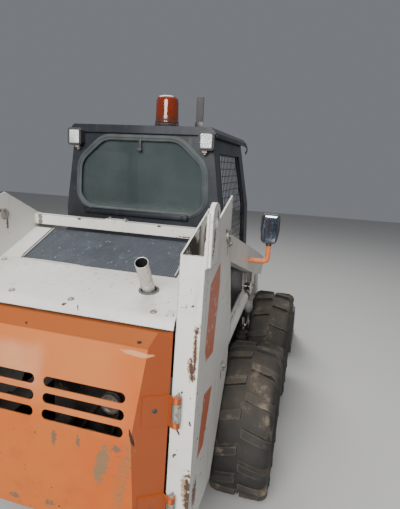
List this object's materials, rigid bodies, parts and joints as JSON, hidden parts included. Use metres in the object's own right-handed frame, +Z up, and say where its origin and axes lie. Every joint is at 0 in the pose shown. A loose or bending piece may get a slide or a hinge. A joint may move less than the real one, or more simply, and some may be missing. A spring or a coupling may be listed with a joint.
{
  "type": "skid steer loader",
  "caption": "Compact skid steer loader with rear uprights, lift arms, open-fronted cab, hinged tail door and a bucket.",
  "frame": {"origin": "on the ground, midway along the loader's length and width", "axes": "+X forward to the bucket, +Y to the operator's left, +Z up"},
  "size_m": [3.376, 1.727, 2.206],
  "materials": {
    "body_white": "worn gloss",
    "orange_paint": "faded gloss",
    "cab_paint": "satin",
    "frame_paint": "dusty satin",
    "slate_paint": "dusty satin",
    "engine_iron": "oily",
    "bright_pipe": "brushed",
    "zinc_steel": "dull",
    "window_glass": "dusty",
    "seat_vinyl": "matt vinyl",
    "lever_black": "matt",
    "lamp_black": "matt",
    "beacon_amber": "clear amber",
    "bucket_steel": "worn",
    "tyre_rubber": "dusty",
    "rim_paint": "satin",
    "chrome_rod": "polished"
  },
  "bodies": {
    "chassis": {"main_frame": "frame_paint", "upright_left": "body_white", "upright_right": "body_white", "upright_beam": "body_white", "engine_block": "engine_iron", "tail_panel": "body_white", "top_grille": "slate_paint", "exhaust_stub": "bright_pipe", "door_hinges": "zinc_steel", "cab_rear": "cab_paint", "rear_window": "window_glass", "cab_roof": "cab_paint", "cab_side_left": "cab_paint", "cab_side_right": "cab_paint", "seat_pan": "cab_paint", "seat_cushions": "seat_vinyl", "control_levers": "lever_black", "lap_bar": "cab_paint", "work_lamps": "lamp_black", "beacon": "beacon_amber", "roof_bar": "lamp_black", "axle_tubes": "frame_paint", "upright_pins": "zinc_steel"},
    "wheel_rear_left": {"tyre_rear_left": "tyre_rubber", "rim_rear_left": "rim_paint"},
    "wheel_rear_right": {"tyre_rear_right": "tyre_rubber", "rim_rear_right": "rim_paint"},
    "wheel_front_left": {"tyre_front_left": "tyre_rubber", "rim_front_left": "rim_paint"},
    "wheel_front_right": {"tyre_front_right": "tyre_rubber", "rim_front_right": "rim_paint"},
    "lift_arms": {"lift_arm_left": "body_white", "lift_arm_right": "body_white", "arm_cross_tube": "body_white", "mirror": "lamp_black"},
    "bucket_carrier": {"quick_attach": "frame_paint", "bucket": "bucket_steel"},
    "rear_door": {"rear_door": "orange_paint"},
    "lift_cylinder_left": {"lift_barrel_left": "body_white"},
    "lift_rod_left": {"lift_rod_left": "chrome_rod"},
    "lift_cylinder_right": {"lift_barrel_right": "body_white"},
    "lift_rod_right": {"lift_rod_right": "chrome_rod"},
    "tilt_cylinder_left": {"tilt_barrel_left": "body_white"},
    "tilt_rod_left": {"tilt_rod_left": "chrome_rod"},
    "tilt_cylinder_right": {"tilt_barrel_right": "body_white"},
    "tilt_rod_right": {"tilt_rod_right": "chrome_rod"}
  },
  "joints": [
    {"name": "wheel_rear_left_spin", "type": "hinge", "parent": "chassis", "child": "wheel_rear_left", "pos_m": [-0.744, 0.7015, 0.415], "axis": [0, 1, 0], "continuous": true},
    {"name": "wheel_rear_right_spin", "type": "hinge", "parent": "chassis", "child": "wheel_rear_right", "pos_m": [-0.744, -0.7015, 0.415], "axis": [0, 1, 0], "continuous": true},
    {"name": "wheel_front_left_spin", "type": "hinge", "parent": "chassis", "child": "wheel_front_left", "pos_m": [0.29, 0.7015, 0.415], "axis": [0, 1, 0], "continuous": true},
    {"name": "wheel_front_right_spin", "type": "hinge", "parent": "chassis", "child": "wheel_front_right", "pos_m": [0.29, -0.7015, 0.415], "axis": [0, 1, 0], "continuous": true},
    {"name": "lift", "type": "hinge", "parent": "chassis", "child": "lift_arms", "pos_m": [-1.217, 0, 1.528], "axis": [0, -1, 0], "range_deg": [0, 71]},
    {"name": "tilt", "type": "hinge", "parent": "lift_arms", "child": "bucket_carrier", "pos_m": [0.85, 0, 0.175], "axis": [0, -1, 0], "range_deg": [-113, 30]},
    {"name": "rear_door_swing", "type": "hinge", "parent": "chassis", "child": "rear_door", "pos_m": [-1.60796, -0.535, 0.90113], "axis": [0.0629, 0, 0.998], "range_deg": [0, 105]},
    {"name": "lift_cylinder_left_swing", "type": "hinge", "parent": "chassis", "child": "lift_cylinder_left", "pos_m": [-1.14, 0.5525, 0.9], "axis": [0, -1, 0], "range_deg": [0, 57.95]},
    {"name": "lift_rod_left_slide", "type": "slide", "parent": "lift_cylinder_left", "child": "lift_rod_left", "axis": [0.9939, 0, 0.1099], "range_m": [0, 0.694]},
    {"name": "tilt_cylinder_left_swing", "type": "hinge", "parent": "lift_arms", "child": "tilt_cylinder_left", "pos_m": [0.41, 0.405, 0.98], "axis": [0, -1, 0], "range_deg": [-3.51, 12.39]},
    {"name": "tilt_rod_left_slide", "type": "slide", "parent": "tilt_cylinder_left", "child": "tilt_rod_left", "axis": [0.4741, 0, -0.8805], "range_m": [-0.0488, 0.1782]},
    {"name": "lift_cylinder_right_swing", "type": "hinge", "parent": "chassis", "child": "lift_cylinder_right", "pos_m": [-1.14, -0.5525, 0.9], "axis": [0, -1, 0], "range_deg": [0, 57.95]},
    {"name": "lift_rod_right_slide", "type": "slide", "parent": "lift_cylinder_right", "child": "lift_rod_right", "axis": [0.9939, 0, 0.1099], "range_m": [0, 0.694]},
    {"name": "tilt_cylinder_right_swing", "type": "hinge", "parent": "lift_arms", "child": "tilt_cylinder_right", "pos_m": [0.41, -0.405, 0.98], "axis": [0, -1, 0], "range_deg": [-3.51, 12.39]},
    {"name": "tilt_rod_right_slide", "type": "slide", "parent": "tilt_cylinder_right", "child": "tilt_rod_right", "axis": [0.4741, 0, -0.8805], "range_m": [-0.0488, 0.1782]}
  ],
  "couplings": [
    {"joint": "lift_cylinder_left_swing", "follows": "lift", "ratio": 0.8091},
    {"joint": "lift_rod_left_slide", "follows": "lift", "m_per_rad": 0.55762},
    {"joint": "tilt_cylinder_left_swing", "follows": "tilt", "ratio": -0.107},
    {"joint": "tilt_rod_left_slide", "follows": "tilt", "m_per_rad": -0.08932},
    {"joint": "wheel_front_left_spin", "follows": "wheel_rear_left_spin", "ratio": 1},
    {"joint": "lift_cylinder_right_swing", "follows": "lift", "ratio": 0.8091},
    {"joint": "lift_rod_right_slide", "follows": "lift", "m_per_rad": 0.55762},
    {"joint": "tilt_cylinder_right_swing", "follows": "tilt", "ratio": -0.107},
    {"joint": "tilt_rod_right_slide", "follows": "tilt", "m_per_rad": -0.08932},
    {"joint": "wheel_front_right_spin", "follows": "wheel_rear_right_spin", "ratio": 1}
  ]
}
